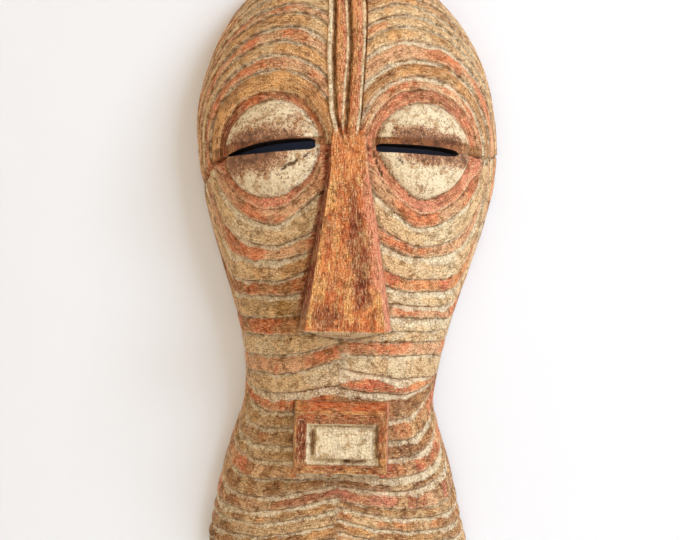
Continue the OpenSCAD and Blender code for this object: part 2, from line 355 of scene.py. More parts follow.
def lines(side):
    """Level, eye share and other fields of one side's carved lines, on the whole grid."""
    a = ANGLE * side
    wobble = 0.55 * noise(a / 9, V / 7, 11 + side) + 0.30 * noise(a / 3.5, V / 3.5, 21 + side)
    v = V + wobble * smooth(0, 6, V)
    eye = np.interp(a, *EYE_LINE[side])
    above = v > eye
    # the upper family: ever larger ovals about the eye
    # (the half height of the oval through each point is found by halving)
    low, high = np.full(V.shape, 0.01), np.full(V.shape, 190.0)
    for _ in range(HALVINGS):
        b = (low + high) / 2
        beyond, inside = np.maximum(b - LID_HIGH, 0), np.minimum(b / LID_HIGH, 1)
        half = np.where(a < EYE_ANGLE, LID_IN * inside + 0.5 * beyond, LID_OUT_UP * inside + 0.72 * beyond)
        outside = ((v - eye) / b) ** 2 + ((a - EYE_ANGLE) / half) ** 2 > 1
        low, high = np.where(outside, b, low), np.where(outside, high, b)
    upper = (low + high) / 2
    # the lower family: key curves, and straight shares between them
    lid = LID_LOW[side]
    inner_side = a < EYE_ANGLE
    lid_half = np.where(inner_side, LID_IN, lid["half"])
    lid_power = np.where(inner_side, lid["inner"], lid["outer"])
    share = np.clip(np.abs(a - EYE_ANGLE) / lid_half, 0, 1)
    lid_edge = eye - lid["drop"] * (1 - share**lid_power) ** (1 / lid_power)
    level = np.full(V.shape, float(LOWER[0][0]))
    below_curve = lower_curve(side, LOWER[0], a, eye)
    level = np.where(v < below_curve, LOWER[0][0] + (v - below_curve), level)
    for first, second in zip(LOWER, LOWER[1:]):
        top = np.maximum(lower_curve(side, second, a, eye), below_curve + 0.05)
        part = (v - below_curve) / (top - below_curve)
        level = np.where(part >= 0, first[0] + (second[0] - first[0]) * np.minimum(part, 1), level)
        below_curve = top
    ring = (v - below_curve) / np.maximum(lid_edge - below_curve, 0.05)
    level = np.where(ring > 0, RING_LEVEL + RING_SPAN * np.minimum(ring, 1), level)
    drop = np.clip((eye - v) / lid["drop"], 0, 1.5)
    lower_share = (drop**lid_power + (np.abs(a - EYE_ANGLE) / lid_half) ** lid_power) ** (1 / lid_power)
    eye_share = np.where(above, upper / LID_HIGH, lower_share)
    in_eye = (eye_share < 1) & (a > EYE_FROM) & (a < EYE_TO)
    return dict(
        a=a, over=v - eye, above=above, in_eye=in_eye, share=eye_share,
        upper=EYE_LEVEL + upper, lower=level,
    )


SCRATCH = 0.6
BLOCK_LONG = 6.5
# other paint on the blocks whose random tone lies between the two numbers: paint, amount, from, to
BLOCK_PAINTS = (("grey", 0.75, -1, 0.20), ("brown", 0.80, 0.20, 0.36), ("beige", 0.60, 0.82, 1))
LID_SUNK = 3.0
MM_PER_DEGREE = 1.45
# cracks on each side: from and to as (angle, height), and half width
CRACKS = {
    -1: [
        ((24.6, 222.0), (20.0, 226.4), 0.85), ((20.3, 224.3), (18.6, 227.5), 0.45),
        ((16, 229), (13.5, 231.5), 0.5),
    ],
    1: [
        ((9.2, 233), (10.4, 227), 0.7), ((10.4, 227), (12.6, 219.5), 0.5),
        ((17.5, 229.5), (19.8, 227.2), 0.4),
    ],
}


def groove_depth(spacing, floor):
    """How deep a groove is cut beside a ridge of that width; half as deep if it has no floor to speak of."""
    return np.clip(0.24 * spacing, 0.4, 1.9) * np.where(floor < SCRATCH, 0.5, 1.0)


def ridge_paint(paint_at, ridge, level, up, down, floor, a, strokes, seed):
    """The worn paint of each ridge, with a lighter lower edge that is partly a painted highlight, and the
    cracks between the blocks of paint low on the mask.
    """
    fade = noise(a / 11, ridge * 5.3, seed + 3) + 0.5 * noise(a / 4, ridge * 5.3 + down / 5, seed + 4)
    fade = smooth(-0.35, 0.3, fade)[..., None] * 0.9
    tint = mix(PAINT_TABLE[paint_at], WORN_TABLE[paint_at], fade)
    tint = tint * (1 + 0.18 * strokes + 0.16 * noise(a / 5, ridge * 7.9 + down / 6, seed + 5))[..., None]
    along = a / BLOCK_LONG + 0.37 * ridge + 0.25 * noise(a / 3, level / 4, seed + 7)
    tones = np.random.default_rng(seed + 8).random((64, 64))
    tone = tones[ridge % 64, np.floor(along).astype(int) % 64]
    lowest = smooth(94, 80, V) * (up > floor * 0.5) * (down > 0) * smooth(14, 34, a)
    for colour, amount, low, high in BLOCK_PAINTS:
        tint = cover(tint, colour, amount * lowest * ((tone > low) & (tone < high)))
    joint = np.abs(along - np.round(along)) * BLOCK_LONG
    joints = 0.9 * lowest * hump(joint, 0.4) * (tone < 0.75)
    # the lighter lower edge of each ridge: worn paint, and a painted highlight
    ridge_edge_wear_and_highlight = hump(down - 0.8, 0.7) * (0.42 + 0.38 * noise(a / 3, ridge * 2.3, seed + 6))
    return cover(tint, "cream", np.clip(ridge_edge_wear_and_highlight, 0, 1)), joints


def grooves(level, table, a, seed):
    """Height, paint, kaolin and the painted shade and dirt of the carved lines of one family."""
    slope = slopes(level)
    edges = np.array([row[0] for row in table], float)
    floors = np.array([row[1] for row in table], float)
    paint_of = np.array([NAMES.index(row[2]) for row in table])
    i = np.clip(np.searchsorted(edges, level, side="right") - 1, 0, len(edges) - 2)
    up = (edges[i + 1] - level) / slope
    down = (level - edges[i]) / slope
    spacing = (edges[i + 1] - edges[i]) / slope
    spacing_below = (edges[i] - edges[np.maximum(i - 1, 0)]) / slope
    uneven = 1 + 0.35 * noise(a / 7, i * 3.7, seed)
    floor = np.maximum(floors[i + 1] * uneven / slope, 0.7)
    deep, deep_below = groove_depth(spacing, floors[i + 1]), groove_depth(spacing_below, floors[i])

    ramp = np.clip((up - floor) / np.clip(0.6 * (spacing - floor), 0.6, 3.4), 0, 1)
    rise = np.where(up < floor, 1 - 0.45 * up / floor, 0.55 * (1 - ramp) ** 2)
    height = -deep * rise * smooth(-0.3, 0.5, up) - deep_below * (1 - smooth(-0.3, 0.5, down)) * 0.3
    height = height - 0.18 * deep_below * np.exp(-down / 0.6)
    strokes = noise(level / 1.15, a / 16, seed + 1) + 0.5 * noise(level / 0.6, a / 9, seed + 2)
    height = height + 0.16 * strokes * np.clip(spacing / 5, 0.3, 1)
    height = height * (1 - 0.5 * smooth(72, 88, a))

    kaolin = np.maximum(np.minimum(up + 0.45, floor - up), -down)
    kaolin = np.where(floors[i + 1] < SCRATCH, np.minimum(kaolin, -down), kaolin)
    # painted shade and dirt: dark lines at both edges of each ridge band, and a wider painted shade fading
    # out under each ridge's edge
    crease = np.maximum(hump(up - 0.3, 0.5), hump(down + 0.3, 0.5))
    crease = np.maximum(crease, 0.42 * np.exp(-np.maximum(up, 0) / 1.3))
    crease = crease * np.clip(spacing / 3.0, 0.6, 1)
    tint, joints = ridge_paint(paint_of[i], i, level, up, down, floor, a, strokes, seed)
    return dict(height=height, tint=tint, kaolin=kaolin, crease=np.maximum(crease, joints))


def carve_eye(side, f, part):
    """The sunk ring round the eye, the two domed lids in it, and the bevelled brown lip over the slit."""
    above, share, over, a, in_eye = f["above"], f["share"], f["over"], f["a"], f["in_eye"]
    out_up, out_low = f["upper"] - (EYE_LEVEL + LID_HIGH), RING_LEVEL + RING_SPAN - f["lower"]
    sink = np.where(above, 1 - smooth(0, 9, out_up), 1 - smooth(0, 12, out_low))
    dome = np.maximum(0, 1 - share**2.3) ** 0.55
    height = np.where(in_eye, -LID_SUNK + 6.2 * dome, part["height"] * (1 - 0.6 * sink) - LID_SUNK * sink)
    tint = np.where(in_eye[..., None], PAINT["lid"], part["tint"])
    kaolin = np.where(in_eye, 3.0, part["kaolin"])
    # painted shade and dirt: a dark line round the lids
    lid_line = hump((share - 1.0) * 26, 0.9) * ((a > EYE_FROM) & (a < EYE_TO))
    crease = np.maximum(np.where(in_eye, 0, part["crease"]), 0.7 * lid_line)

    along = band(a, 9, 14, 50, 60)
    proud = 1.8 * hump(np.maximum(over - 3, 0), 9) * along
    lip_top = 3.9 + (1.9 * smooth(30, 48, a) if side < 0 else 1.6)
    lip = np.clip((lip_top - over) / 2.2, 0, 1)
    height = np.where(above & in_eye, height + proud - 2.0 * lip * along, height)
    on_lip = above & (over < lip_top) & (a > 9) & (a < 60)
    tint = np.where(on_lip[..., None], mix(PAINT["brown"], PAINT["dark"], 0.5), tint)
    kaolin = np.where(on_lip, -2, kaolin)
    # painted shade and dirt along the top edge of the brown lip
    lip_line = hump(over - lip_top, 0.45) * band(a, 7, 10, 52, 60)
    crease = np.maximum(crease, 0.8 * lip_line * above)
    low_lip = (~above) & (over > -3.4) & in_eye
    height = np.where(low_lip, height - 0.5 * smooth(-3.4, -2.6, over), height)
    part.update(height=height, tint=tint, kaolin=kaolin, crease=crease)


def lid_stain(side, f):
    """Brown rubbed patches over and under the slit, on lids that are a little worn all over."""
    over, a = f["over"], f["a"]
    patch = noise(a / 6, V / 5, 31 + side) * 0.35
    reach = (11.0 if side < 0 else 8.0) + 4 * patch
    across = band(a, 12, 20, 38, 52)
    upper_stain = hump(np.maximum(over - 4, 0), reach) * across
    low_mid, low_reach = (38, 8.0) if side < 0 else (36, 5.0)
    lower_stain = hump(np.maximum(-over - 3.2, 0), low_reach) * hump(a - low_mid, 17, 4)
    worn = 0.12 if side > 0 else np.where(f["above"], 0.14, 0.26)
    worn = worn * (1 + 0.6 * noise(a / 8, V / 7, 37 + side))
    stain = worn + np.where(f["above"], upper_stain, lower_stain) * (0.95 + patch)
    return np.where(f["in_eye"], stain, 0)


def carve_cracks(side, a, part):
    """The open cracks of one side."""
    for (a_1, v_1), (a_2, v_2), half in CRACKS[side]:
        run, climb = (a_2 - a_1) * MM_PER_DEGREE, v_2 - v_1
        length = math.hypot(run, climb)
        right_of, up_of = (a - a_1) * MM_PER_DEGREE, V - v_1
        t = (right_of * run + up_of * climb) / length
        away = np.abs(up_of * run - right_of * climb) / length + 0.25 * noise(a / 0.8, V, 35)
        crack = hump(away, half) * band(t, -0.5, 0.4, length - 0.4, length + 0.5)
        part["crease"] = np.maximum(part["crease"], 3.0 * crack)
        part["height"] = part["height"] - 0.6 * crack
        part["stain"] = part["stain"] * (1 - crack)
        part["kaolin"] = part["kaolin"] - 3 * crack


def carve_temple(side, f, part):
    """The notch from the slit's outer end to the rim; the left one is rusty, with a maroon painted shadow
    over it.
    """
    a, over, is_left = f["a"], f["over"], side < 0
    wedge = np.abs(over + 0.6) / (0.6 + 0.09 * np.maximum(a - 52, 0)) if is_left else np.abs(over) / 0.8
    notch = hump(wedge, 1) * smooth(48, 56, a) * (1 - 0.3 * smooth(80, 90, a))
    part["height"] = part["height"] - (1.8 if is_left else 1.1) * notch
    # painted shade and dirt in the notch
    part["crease"] = np.maximum(part["crease"], notch * (0.45 if is_left else 0.7))
    if is_left:
        out_up = f["upper"] - (EYE_LEVEL + LID_HIGH)
        # painted shadow in maroon under the left brow's edge, over the notch
        brow_shadow = band(a, 38, 44, 58, 66) * hump(out_up - 2.5, 3.0) * f["above"]
        part["tint"] = cover(cover(part["tint"], "rust", notch * 0.85), "maroon", 0.75 * brow_shadow)
        part["kaolin"] = part["kaolin"] - 4 * notch - 3 * brow_shadow


def face_side(side):
    """Everything that one side's carving and paint do to the base form."""
    f = lines(side)
    a, above = f["a"], f["above"]
    upper = grooves(f["upper"], BROW[side], a, 70 + side * 20)
    lower = grooves(f["lower"], CHEEK[side], a, 150 + side * 20)
    part = {key: np.where(above, upper[key], lower[key]) for key in ("height", "kaolin", "crease")}
    part["tint"] = np.where(above[..., None], upper["tint"], lower["tint"])
    carve_eye(side, f, part)
    part["stain"] = lid_stain(side, f)
    carve_cracks(side, a, part)
    carve_temple(side, f, part)
    # where the fibres of the paint are: millimetres across and along the carved lines
    across = np.where(above, f["upper"], f["lower"]) * side
    part["flow"] = np.stack([across, a * 1.4 + V * 0.1, np.zeros(V.shape)], -1)
    return part


left, right = face_side(-1), face_side(1)
to_right = smooth(-2.2, 2.2, X + 1.6 * noise(X / 4, V / 3.5, 33))


def both(key):
    """That field of the two sides, joined down the centre line."""
    t = to_right[..., None] if left[key].ndim == 3 else to_right
    return mix(left[key], right[key], t)


height, tint, kaolin = both("height"), both("tint"), both("kaolin")
crease, stain, flow = both("crease"), both("stain"), both("flow")
upright_flow = np.stack([X, V, np.full(V.shape, 3.0)], -1)
tint = tint * (1 + 0.13 * noise(X / 11, V / 9, 41) + 0.14 * noise(X / 3.6, V / 2.8, 42))[..., None]
edge_wear = smooth(66, 88, np.abs(ANGLE))
tint = cover(tint, "salmon", 0.35 * edge_wear)
kaolin = kaolin - 1.1 * edge_wear

# kaolin where the lines of the two sides meet under the nose, and under the mouth; dirt at the lower edge
centre_pale = hump(X - 1.5 + noise(V / 3, 0 * X, 69), 3.4, 4) * band(V, 101, 104, 119, 122)
kaolin = np.maximum(kaolin, -1.5 + 3.6 * centre_pale * (0.75 + 0.25 * noise(X / 2, V / 3, 71)))
below_mouth = smooth(54.5, 53, V) * smooth(45, 48.5, V) * (1 - smooth(20, 27, AX))
kaolin = np.maximum(kaolin, -1.5 + 4.4 * below_mouth * (0.7 + 0.3 * noise(X / 5, V / 2, 55)))
corner_dirt = smooth(30, 6, V) * smooth(40, 75, np.abs(ANGLE)) + 0.5 * smooth(16, 2, V)
corner_dirt = corner_dirt * smooth(-0.5, 0.3, noise(X / 5, V / 4, 54))
tint = cover(tint, "dark", 0.7 * np.clip(corner_dirt, 0, 1))

# ---------------------------------------------------------------- the crest over the brow

crest = smooth(239, 245, V) * (AX <= FRONT + 1e-6)
CREST_V = [240, 255, 289, 316, 353]


def crest_line(centres, half):
    """1 on an upright line of the crest, with its centre at each of the heights, in millimetres."""
    middle = np.interp(V, CREST_V, centres) + 0.25 * noise(V / 6, 0 * X + centres[0], 36)
    return hump(np.abs(X - middle), half, 3)


white_left = crest_line([-5.2, -8.3, -9.6, -7.9, -7.4], 1.35)
dark_left = crest_line([-3.4, -6.1, -7.2, -5.9, -5.4], 1.1)
white_mid = crest_line([-3.0, -2.0, 0.7, 0.4, 0.3], 0.75)
dark_mid = crest_line([-1.2, 0.2, 2.4, 2.5, 2.4], 1.15)
pink_mid = crest_line([-4.0, -3.2, -0.8, -1.0, -1.0], 0.8)
pink_right = crest_line([3.4, 5.6, 8.0, 8.2, 8.2], 0.9)
white_right = crest_line([4.6, 7.3, 9.7, 10.3, 10.0], 0.85)
dark_right = crest_line([6.0, 8.6, 10.7, 12.0, 11.8], 0.55)
crest_height = 0.5 - 2.2 * dark_left - 2.2 * dark_mid - 1.2 * dark_right
crest_height = crest_height + 0.4 * (white_left + white_mid + white_right)
crest_tint = np.zeros(V.shape + (3,)) + mix(PAINT["orange_tan"], PAINT["tan"], 0.35)
rubbed = smooth(-0.2, 0.7, noise(X / 2.2, V / 8, 43) + 0.5 * noise(X / 1.2, V / 3, 44))
# the dark lines: painted shade and dirt in the crest's grooves, in groove brown
for line, colour, amount in (
    (rubbed, "rust", 0.75), (pink_mid, "pink", 0.85), (pink_right, "pink", 0.8),
    (white_left, "kaolin", 1), (white_mid, "kaolin", 0.85), (white_right, "kaolin", 0.9),
    (dark_left, "groove", 0.95), (dark_mid, "groove", 0.95), (dark_right, "groove", 0.8),
):
    crest_tint = cover(crest_tint, colour, line * amount)
crest_white = np.maximum(white_left, 0.85 * np.maximum(white_mid, white_right))
crest_kaolin = -2.4 + 3.6 * crest_white - 2 * np.maximum(dark_left, dark_mid)
height = mix(height, crest_height, crest)
tint = cover(tint, crest_tint, crest)
kaolin = mix(kaolin, crest_kaolin, crest)
crease = mix(crease, 0.35 * np.maximum(dark_left, np.maximum(dark_mid, 1.4 * dark_right)), crest)
flow = np.where((crest > 0.5)[..., None], upright_flow, flow)

# ---------------------------------------------------------------- forms of the nose and the mouth

nose_y = np.interp(V, NOSE_PROFILE_V, NOSE_PROFILE_Y) + 0.05 * AX
nose_low = NOSE_FOOT - 1.2 - 3.8 * np.maximum(0, 1 - (AX / 21) ** 2)
nose_on = np.clip((V - nose_low) / (NOSE_FOOT - nose_low), 0, 1) * (1 - smooth(*NOSE_FADE, V))
mouth_on = np.interp(V, [MOUTH["wall"], MOUTH["low"], MOUTH["high"], MOUTH["bevel"]], [0, 1, 1, 0])
outside_mouth = (V < MOUTH["wall"]) | (V > MOUTH["bevel"])
mouth_on = np.where(outside_mouth, 0, mouth_on)
nose_on = np.where((V < NOSE_UNDER) | (V > NOSE_FADE[1]), 0, nose_on)
feature_on = np.maximum(nose_on, mouth_on)
in_nose, in_mouth = nose_on > 0, mouth_on > 0

panel_x = np.where(X < 0, INNER_SHARES[-1][0], INNER_SHARES[1][0]) * FRONT
channel_x = np.where(X < 0, INNER_SHARES[-1][1], INNER_SHARES[1][1]) * FRONT
from_frame = np.minimum(channel_x - AX, np.minimum(V - CHANNEL_V[0], CHANNEL_V[1] - V))
from_panel = np.maximum(AX - panel_x, np.maximum(PANEL_V[0] - V, V - PANEL_V[1]))
channel_floor = np.minimum(smooth(0, 2.4, from_frame), smooth(0, 1.2, from_panel))
mouth_y = MOUTH["y"] + MOUTH["depth"] * channel_floor * (from_frame > 0)
mouth_y = mouth_y + 0.25 * noise(X / 9, V / 7, 44)
front_y = np.where(in_nose, nose_y, mouth_y)
foot_share = np.clip(FOOT / np.maximum(HALF, 1e-6), 0, 1)
foot_base = -depth(V) * np.sqrt(np.maximum(0, 1 - foot_share**SECTION_POWER))
edge_y = np.where(in_nose, nose_y, MOUTH["y"])
across = np.clip((AX - FRONT) / np.maximum(FOOT - FRONT, 1e-6), 0, 1)
wall_y = mix(edge_y, foot_base, across)
inside = AX <= FRONT + 1e-6
on_wall = (AX > FRONT + 1e-6) & (AX < FOOT - 1e-6)
shape_y = np.where(inside, mix(Y_BASE, front_y, feature_on), Y_BASE)
shape_y = np.where(on_wall, mix(Y_BASE, wall_y, feature_on), shape_y)
feature = (inside | on_wall) & (feature_on > 0)
feature_front = inside & (feature_on > 0)


def paint(mask, colour, amount=1.0):
    """Lays that share of a paint, or of a mixed colour, over the tint where the mask is."""
    global tint
    tint = cover(tint, colour, mask * amount)


carved = np.where(feature, smooth(234, 244, V), 1.0)
height = height * carved
kaolin = np.where(feature, mix(-3, kaolin, carved), kaolin)
crease = crease * carved
stain = stain * carved

flow = np.where(feature[..., None], upright_flow, flow)
level_flow = np.stack([V, X, np.full(V.shape, 5.0)], -1)
level_part = feature & in_mouth & ((V > 83) | (V < 59)) & (np.abs(X) < 26)
flow = np.where(level_part[..., None], level_flow, flow)

# ---------------------------------------------------------------- the nose
# ochre front with dark rubbing and light edges; a painted shadow in dark red on the left wall and beside its
# foot; pink right wall, lightened a little as a painted highlight

nose_front = feature_front & in_nose & (V > NOSE_FOOT - 0.5)
paint(nose_front, "nose_edge", 1 - 0.8 * smooth(232, 244, V))
blotch = smooth(-0.15, 0.35, noise(X / 3.2 + 3, V / 11, 45) + 0.6 * noise(X / 1.4, V / 4, 46))
pale = smooth(-0.1, 0.4, noise(X / 3.0, V / 14 + 7, 47) + 0.7 * noise(X / 1.3, V / 5, 48))
bridge = smooth(214, 228, V)
paint(nose_front, "nose", 0.92 * (1 - 0.85 * pale) * (1 - 0.2 * bridge))
paint(nose_front, PAINT["rust"] * np.array([1.0, 0.85, 0.75]), 0.9 * blotch * (1 - 0.4 * bridge))
band_middle = np.interp(V, [148, 175, 200, 216], [9.5, 7, 3.5, 2.0]) + 1.2 * noise(V / 6, 0 * X, 56)
band_half = np.interp(V, [140, 150, 175, 200, 218], [2.0, 4.5, 6.0, 3.8, 1.0])
dark_patch = smooth(1.25, 0.55, np.abs(X - band_middle) / band_half + 0.25 * noise(X / 2, V / 3, 66))
dark_patch = dark_patch * band(V, 138, 150, 205, 218)
corner_dark = hump(X + 9.5, 8.5, 4) * hump(V - 141.5, 7.5, 4) * smooth(-0.9, 0.1, noise(X / 2.5, V / 3, 67))
paint(nose_front, "nose_dark", np.clip(0.78 * dark_patch + 0.85 * corner_dark, 0, 0.9))
rim_light = smooth(0.74, 0.97, AX / np.maximum(FRONT, 1)) * nose_front * band(V, 134, 140, 205, 220)
paint(rim_light > 0, "nose_edge", 0.7 * rim_light)
pink_edge = smooth(-1.5, 1.0, X - FRONT + 3.2 + 1.6 * noise(X / 3, V / 4, 57)) * band(V, 150, 160, 214, 226)
paint(nose_front & (X > 0), "pink", 0.92 * pink_edge)
# painted shadow: dark red on the left wall of the nose and just beside its foot
beside = band(AX, FRONT - 0.6, FRONT + 0.4, FOOT + 1.0, FOOT + 3.4) * (X < 0)
shadow_side = beside * band(V, 134, 150, 232, 240)
paint(shadow_side, "maroon", 0.9)
kaolin = kaolin - 4 * shadow_side
# the right wall: pink paint, lightened as a painted highlight where it faces the light
paint(on_wall & in_nose & (X > 0), PAINT["pink"] * 1.12, 0.95 * (1 - smooth(214, 230, V)))
under = feature & in_nose & (V <= NOSE_FOOT) & (V > nose_low - 0.5)
paint(under, "grey")
kaolin = np.where(under, 0.4, kaolin)

# ---------------------------------------------------------------- the mouth
# ochre frame with a bevel on top, whitened channel with painted shade along its walls, cream panel

frame_zone = feature_front & in_mouth & (from_frame <= 0)
paint(frame_zone, "rust")
frame_front, on_bevel = frame_zone & (V <= MOUTH["high"]), frame_zone & (V > MOUTH["high"])
paint(frame_front, "dark", 0.30 + 0.3 * smooth(-0.3, 0.4, noise(X / 3, V / 1.5, 58)))
bevel_wear = smooth(-0.1, 0.5, noise(X / 6, V / 1.2, 59))
paint(frame_zone & (V > MOUTH["high"] + 0.4), "bevel", 1.0)
paint(frame_zone & (V > MOUTH["bevel"] - 1.0), "dark", 0.35)
paint(on_bevel, "nose_edge", 0.2 * bevel_wear + 0.5 * smooth(-17, -22, X))
# lighter edges of the frame: worn paint, and a painted highlight
frame_edge = np.minimum(np.abs(V - MOUTH["high"]), np.minimum(np.abs(AX - FRONT), np.abs(V - MOUTH["low"])))
edge_wear_and_highlight = 0.9 * hump(frame_edge, 0.7) * smooth(-0.7, 0.3, noise(X / 3, V / 3, 49))
paint(frame_zone, "nose_edge", edge_wear_and_highlight)
paint(frame_front, "nose_edge", 0.8 * smooth(24, 27, X) * smooth(75, 60, V))
paint(frame_zone & (V < 62), "nose_edge", 0.55 * smooth(-0.3, 0.5, noise(X / 4, V / 1.5, 60)))
uneven = 0.9 * noise(X / 1.5, V / 3, 68)
dark_strip = smooth(-17.0, -18.2, X + uneven) * smooth(-23.2, -22.4, X)
dark_strip = dark_strip * smooth(56, 62, V + uneven) * smooth(87, 83, V + uneven)
paint(frame_zone, mix(PAINT["maroon"], PAINT["dark"], 0.35), 0.9 * dark_strip)
channel = feature_front & in_mouth & (from_frame > 0) & (from_panel > 0)
paint(channel, "kaolin")
kaolin = np.where(channel, 1.9, kaolin)
# painted shade in the channel: by the panel's left and lower edges and on the frame's right inner wall
uneven_v = V + 1.2 * noise(X / 3, V / 3, 63)
left_channel_shade = hump(X + 13.4 + 0.5 * noise(V / 3, 0 * X, 64), mix(0.8, 1.7, smooth(62, 74, V)))
left_channel_shade = left_channel_shade * band(uneven_v, 61, 65, 77, 80)
right_wall_shade = smooth(21.2, 21.9, X) * smooth(60, 64, V)
low_channel_shade = hump(X - 8.5, 6.0, 4) * hump(V - 60.3 + 0.4 * noise(X / 2, V, 65), 1.0)
channel_shade = channel * np.clip(left_channel_shade + right_wall_shade + low_channel_shade, 0, 1)
paint(channel_shade, mix(PAINT["dark"], PAINT["groove"], 0.6), 0.85)
kaolin = kaolin - 4 * channel_shade
crease = np.maximum(crease, 0.45 * channel_shade)
panel = feature_front & in_mouth & (from_panel <= 0)
paint(panel, mix(PAINT["lid"], PAINT["beige"], 0.45))
kaolin = np.where(panel, 2.5, kaolin)
paint(on_wall & in_mouth & (X > 0), "pink", 0.9)
paint(on_wall & in_mouth & (X < 0), "tan", 0.9)

# three old nail or worm holes, as (x, height, radius)
HOLES = ((-24.9, 85.2, 0.75), (24.0, 126.5, 0.8), (-30.5, 127.0, 0.6))
for hole_x, hole_v, hole_r in HOLES:
    hole = hump(np.hypot(X - hole_x, V - hole_v), hole_r)
    crease = np.maximum(crease, 3.0 * hole)
    kaolin = kaolin - 4 * hole
    height = height - 0.9 * hole

# painted shade lines at the feet of nose and mouth walls, and under the nose
foot_line = hump(AX - FOOT, 0.7) * (feature_on > 0.05) * (V < 238)
crease = np.maximum(crease, np.where(X > 0, 0.40, 0.75) * foot_line)
under_line = hump(V - nose_low + 0.3, 0.8) * (AX < FOOT) * (V < NOSE_FOOT)
crease = np.maximum(crease, 0.8 * under_line)

# ---------------------------------------------------------------- the face as points

base = np.stack([X + centre_shift(V), Y_BASE, V + FOOT_Z], -1)


def normals_of(points):
    """Unit normals of a grid of points."""
    across_c, along_r = np.gradient(points, axis=1), np.gradient(points, axis=0)
    n = np.cross(across_c, along_r)
    size = np.linalg.norm(n, axis=-1, keepdims=True)
    return n / np.maximum(size, 1e-9)


# darker towards the bottom; no paint is lighter than BRIGHTEST, and it keeps its hue
BRIGHTEST = 0.88
tint = tint * mix(0.84, 1.0, smooth(40, 125, V))[..., None]
tint = tint * np.minimum(1, BRIGHTEST / np.maximum(tint.max(-1, keepdims=True), 0.01))
normal = normals_of(base)
near_pole = smooth(CROWN_H, CROWN_H - 1.5, V) * smooth(0.2, 3, V)
chips = 0.10 * noise(X / 2.2, V / 2.2, 51) + 0.22 * noise(X / 8, V / 12, 52)
lift = (height + chips * carved + 0.12 * noise(X / 3, V / 6, 53) * (1 - carved)) * near_pole
shaped = base.copy()
shaped[..., 1] = shape_y
face = shaped + normal * lift[..., None]
face[:, 0, 1] = face[:, -1, 1] = 0
face[..., 1] = np.minimum(face[..., 1], 0)

# ---------------------------------------------------------------- the back: flat rim and adzed hollow

HOLLOW_MID, HOLLOW_REACH = (HOLLOW_TOP + HOLLOW_LOW) / 2, (HOLLOW_TOP - HOLLOW_LOW) / 2
arch_share = np.abs(ROWS - HOLLOW_MID) / HOLLOW_REACH
arch = np.maximum(0, 1 - arch_share**5) ** 0.4
hollow_w = (half_width(ROWS) - RIM_W) * arch + 0.3
hollow_d = (depth(ROWS) - WALL_T) * arch + 0.3
has_hollow = arch > 0.02
hollow_edge = hollow_w * (1 - (1 / (hollow_d + 1)) ** 2) ** (1 / SECTION_POWER)
edge_x = np.where(has_hollow, hollow_edge, 0.5 * half_width(ROWS))
RIM_COUNT, HOLLOW_COUNT = 5, 52
theta = np.linspace(-np.pi / 2, np.pi / 2, HOLLOW_COUNT + 1)
bx = edge_x[:, None] * np.sin(theta)[None, :]
by = 1 - (hollow_d[:, None] + 1) * np.sqrt(np.maximum(0, 1 - np.abs(bx / hollow_w[:, None]) ** SECTION_POWER))
by = np.where(has_hollow[:, None], np.minimum(by, 0), 0)
vb = np.repeat(ROWS[:, None], bx.shape[1], 1)
scoop = np.abs(noise(bx / 11 + 5, vb / 17, 61)) + 0.5 * np.abs(noise(bx / 6, vb / 9 + 4, 62))
by = by + (0.9 - 1.6 * scoop) * smooth(-1, -9, by)
t = np.linspace(0, 1, RIM_COUNT + 1)[None, :-1]
left_rim = mix(face[:, 0, 0][:, None], bx[:, :1], t)
right_rim = mix(bx[:, -1:], face[:, -1, 0][:, None], np.linspace(0, 1, RIM_COUNT + 1)[None, 1:])
back_x = np.hstack([left_rim, bx, right_rim])
back_y = np.hstack([0 * left_rim, by, 0 * right_rim])
rim_z = np.linspace(0, 1, back_x.shape[1])[None, :]
back_z = mix(face[:, 0, 2][:, None], face[:, -1, 2][:, None], rim_z)
back = np.stack([back_x, back_y, back_z], -1)

# ---------------------------------------------------------------- one closed mesh

R, C, B = len(ROWS), X.shape[1], back_x.shape[1]
SAME_POINT = 2e-6


def grid_faces(rows, cols, start, flip):
    """The quads of a grid of points, numbered row by row from start."""
    i, j = np.meshgrid(np.arange(rows - 1), np.arange(cols - 1), indexing="ij")
    a = (start + i * cols + j).ravel()
    quad = np.stack([a, a + 1, a + cols + 1, a + cols], 1)
    return quad[:, ::-1] if flip else quad


points = np.vstack([face.reshape(-1, 3), back.reshape(-1, 3)]) / 1000
quads = np.vstack([grid_faces(R, C, 0, False), grid_faces(R, B, R * C, True)])
bottom = [int(k) for k in range(C - 1, -1, -1)] + [int(R * C + k) for k in range(1, B - 1)]

mesh = bpy.data.meshes.new("mask_carving")
mesh.from_pydata(points.tolist(), [], quads.tolist() + [bottom])
BACK_SLOT = 1
slots = np.zeros(len(mesh.polygons), np.int32)
slots[(R - 1) * (C - 1):] = BACK_SLOT
mesh.polygons.foreach_set("material_index", slots)


def spread(values, fill):
    """A face field as one value for each vertex of face and back."""
    flat = values.reshape(R * C, -1)
    rest = np.tile(np.atleast_1d(fill).astype(float), (R * B, 1))
    return np.vstack([flat, rest])


for name, values, fill in (("kaolin", kaolin, -3), ("crease", crease, 0), ("stain", stain, 0)):
    layer = mesh.attributes.new(name, "FLOAT", "POINT")
    layer.data.foreach_set("value", spread(values, fill).astype(np.float32).ravel())
layer = mesh.attributes.new("flow", "FLOAT_VECTOR", "POINT")
layer.data.foreach_set("vector", spread(flow, (0, 0, 0)).astype(np.float32).ravel())
layer = mesh.attributes.new("tint", "FLOAT_COLOR", "POINT")
colour = np.hstack([spread(np.clip(tint, 0, 1), PAINT["brown"]), np.ones((len(points), 1))])
layer.data.foreach_set("color", colour.astype(np.float32).ravel())

